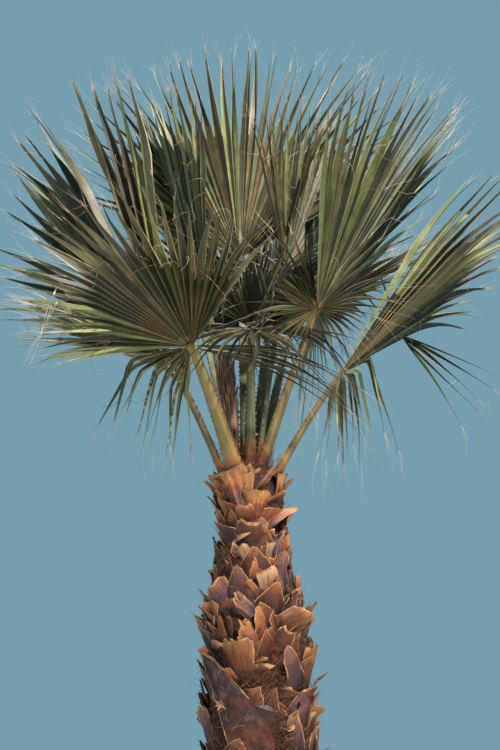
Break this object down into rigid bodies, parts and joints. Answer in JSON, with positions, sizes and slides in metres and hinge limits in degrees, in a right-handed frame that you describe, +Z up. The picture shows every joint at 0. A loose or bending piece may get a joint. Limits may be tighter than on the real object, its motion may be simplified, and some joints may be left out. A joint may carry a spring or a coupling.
{
  "type": "desert fan palm tree",
  "caption": "Young desert fan palm: leaning trunk clad in split leaf bases, toothed stalks and wide pleated fan leaves with drooping, thread-edged tips.",
  "frame": {"origin": "centre of the flat cut under the trunk, at ground level", "axes": "+Z up, -Y to the front, where the largest frond leans out, +X to the right of somebody who faces the tree"},
  "size_m": [2.7433, 2.4577, 5.7066],
  "materials": {
    "trunk_bark": "rough, fibrous, overlapping leaf bases",
    "leaf_stalk": "smooth, waxy, orange-brown at the foot",
    "leaf_blade": "leathery, pleated, slightly waxy"
  },
  "bodies": {
    "root": {"back_left_half": "leaf_blade", "back_left_left_half": "leaf_blade", "back_left_right_half": "leaf_blade", "back_left_stalk": "leaf_stalk", "back_right_half": "leaf_blade", "back_right_left_half": "leaf_blade", "back_right_right_half": "leaf_blade", "back_right_stalk": "leaf_stalk", "back_stalk": "leaf_stalk", "centre_back_left_half": "leaf_blade", "centre_back_right_half": "leaf_blade", "centre_back_stalk": "leaf_stalk", "far_left_left_half": "leaf_blade", "far_left_right_half": "leaf_blade", "far_left_stalk": "leaf_stalk", "front_left_half": "leaf_blade", "front_left_left_half": "leaf_blade", "front_left_right_half": "leaf_blade", "front_left_right_skirt": "leaf_blade", "front_left_stalk": "leaf_stalk", "front_right_half": "leaf_blade", "front_stalk": "leaf_stalk", "left_left_half": "leaf_blade", "left_right_half": "leaf_blade", "left_stalk": "leaf_stalk", "lower_right_drooping_spray": "leaf_blade", "lower_right_left_half": "leaf_blade", "lower_right_left_skirt": "leaf_blade", "lower_right_right_half": "leaf_blade", "lower_right_stalk": "leaf_stalk", "right_left_half": "leaf_blade", "right_left_skirt": "leaf_blade", "right_right_half": "leaf_blade", "right_stalk": "leaf_stalk", "top_right_left_half": "leaf_blade", "top_right_right_half": "leaf_blade", "top_right_stalk": "leaf_stalk", "trunk": "trunk_bark", "upper_left_left_half": "leaf_blade", "upper_left_right_half": "leaf_blade", "upper_left_stalk": "leaf_stalk", "upper_right_left_half": "leaf_blade", "upper_right_right_half": "leaf_blade", "upper_right_stalk": "leaf_stalk"}
  },
  "joints": []
}
